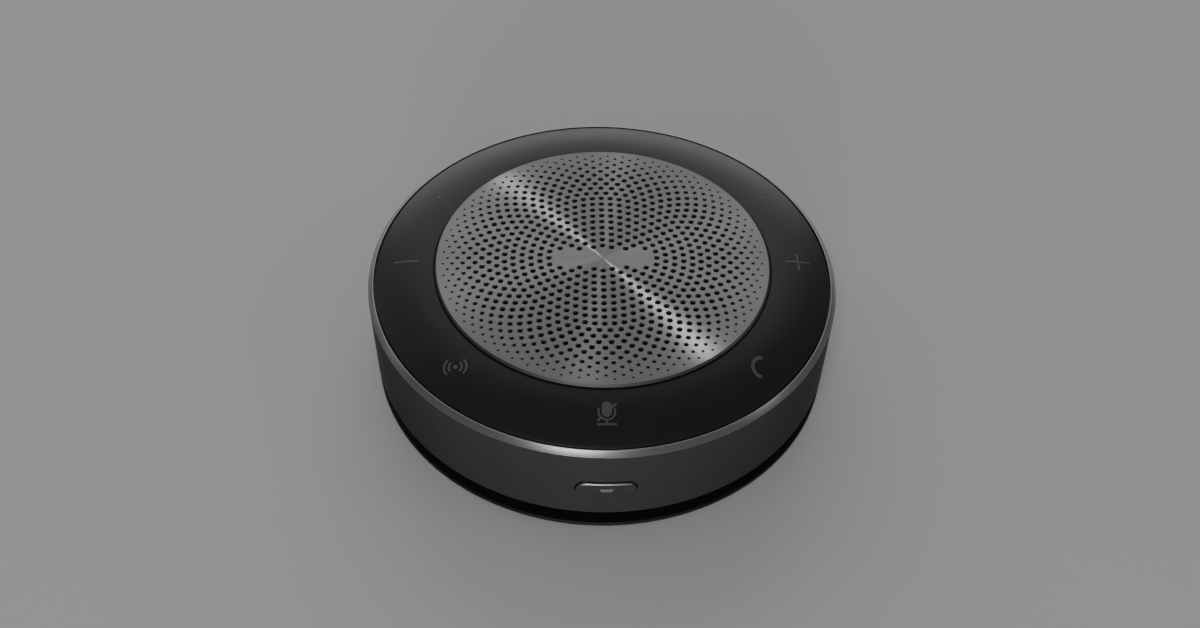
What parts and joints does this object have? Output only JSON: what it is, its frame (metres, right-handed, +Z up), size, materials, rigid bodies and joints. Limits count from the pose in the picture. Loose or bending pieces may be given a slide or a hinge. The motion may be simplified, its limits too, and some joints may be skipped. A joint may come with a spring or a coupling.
{
  "type": "conference speakerphone",
  "caption": "Round tabletop conference speakerphone with a perforated metal grille, touch ring, metal side band and recessed base.",
  "frame": {"origin": "centre of the body's round outline, on the surface that the foot ring stands on", "axes": "+Z up through the grille, -Y out of the power button, +Y out of the USB-C inlet"},
  "size_m": [0.12, 0.1206, 0.0327],
  "materials": {
    "black_plastic": "fine moulded satin black plastic",
    "touch_black": "smooth satin black with thin grey touch symbols",
    "anodised_band": "dark grey anodised, bead-blasted, with a polished chamfer",
    "turned_grille": "fine concentric turned lines",
    "rubber": "matt black rubber",
    "foam": "soft closed-cell foam",
    "acoustic_cloth": "fine black woven mesh",
    "steel": "plain zinc-plated steel",
    "ferrite": "ground ferrite",
    "copper": "enamelled copper wire windings",
    "circuit_board": "green solder mask with copper tracks",
    "paper_cone": "pressed black paper fibre",
    "kapton": "amber polyimide film",
    "spider_cloth": "resin-treated corrugated cloth",
    "battery_wrap": "silver laminate pouch",
    "clear_plastic": "frosted clear polycarbonate",
    "red_wire": "red wire insulation",
    "black_wire": "black wire insulation"
  },
  "bodies": {
    "housing": {"foot_ring": "rubber", "base_cover": "black_plastic", "side_band": "anodised_band", "battery_pad": "foam", "battery": "battery_wrap", "battery_lead": "red_wire", "main_board": "circuit_board", "shield_can": "steel", "usb_c_shell": "steel", "usb_c_tongue": "black_plastic", "ribbon_cable": "kapton", "switch_board": "circuit_board", "power_switch": "black_plastic", "acoustic_chamber": "black_plastic", "chamber_gasket": "foam", "speaker_baffle": "black_plastic", "speaker_gasket": "foam", "lead_grommet": "rubber", "speaker_lead_red": "red_wire", "speaker_lead_black": "black_wire", "speaker_basket": "black_plastic", "speaker_yoke": "steel", "speaker_magnet": "ferrite", "speaker_top_plate": "steel", "spider": "spider_cloth", "surround": "rubber", "touch_board": "circuit_board", "light_guide": "clear_plastic", "touch_ring": "touch_black", "grille_adhesive": "foam", "grille_cloth": "acoustic_cloth", "grille": "turned_grille", "microphone_boot": "rubber", "microphone": "steel", "base_screw_1": "steel", "base_screw_2": "steel", "base_screw_3": "steel", "base_screw_4": "steel", "chamber_screw_1": "steel", "chamber_screw_2": "steel", "chamber_screw_3": "steel", "chamber_screw_4": "steel", "speaker_screw_1": "steel", "speaker_screw_2": "steel", "speaker_screw_3": "steel", "speaker_screw_4": "steel"},
    "power_button": {"power_button": "anodised_band", "button_light_window": "clear_plastic"},
    "speaker_cone": {"speaker_cone": "paper_cone", "dust_cap": "paper_cone", "coil_former": "kapton", "voice_coil": "copper"}
  },
  "joints": [
    {"name": "power_button_press", "type": "slide", "parent": "housing", "child": "power_button", "axis": [0, 1, 0], "range_m": [0, 0.0006], "stiffness_N_per_m": 2500},
    {"name": "cone_travel", "type": "slide", "parent": "housing", "child": "speaker_cone", "axis": [0, 0, 1], "range_m": [-0.0012, 0.0012], "stiffness_N_per_m": 1500, "deforming": ["surround", "spider"]}
  ]
}
